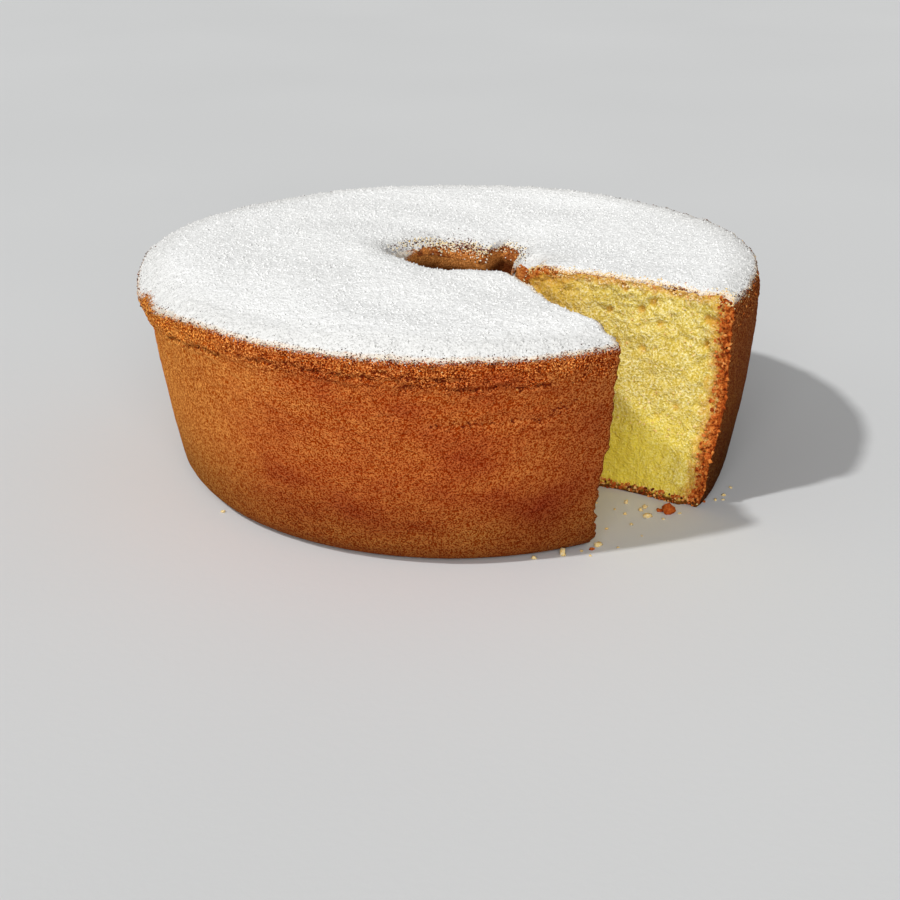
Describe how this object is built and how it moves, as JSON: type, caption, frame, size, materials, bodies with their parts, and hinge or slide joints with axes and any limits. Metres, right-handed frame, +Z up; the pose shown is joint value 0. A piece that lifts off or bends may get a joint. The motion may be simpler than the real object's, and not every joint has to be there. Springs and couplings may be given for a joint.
{
  "type": "ring-shaped pound cake",
  "caption": "Tall ring-shaped pound cake, wide side up, with a browned crust, a thick white sugar dusting on top and a slice cut out that shows its yellow crumb.",
  "frame": {"origin": "on the table plane, at the middle of the overall box", "axes": "+Z up through the hole of the ring, -Y to the front as in the picture, with the slice missing at the front right between -Y and +X"},
  "size_m": [0.2538, 0.2536, 0.0919],
  "materials": {
    "cake_crust": "dull, finely grained orange-brown crust with a yellow crumb at the cuts",
    "icing_sugar": "dull white powder"
  },
  "bodies": {
    "root": {"cake": "cake_crust", "sugar_dusting": "icing_sugar"}
  },
  "joints": []
}
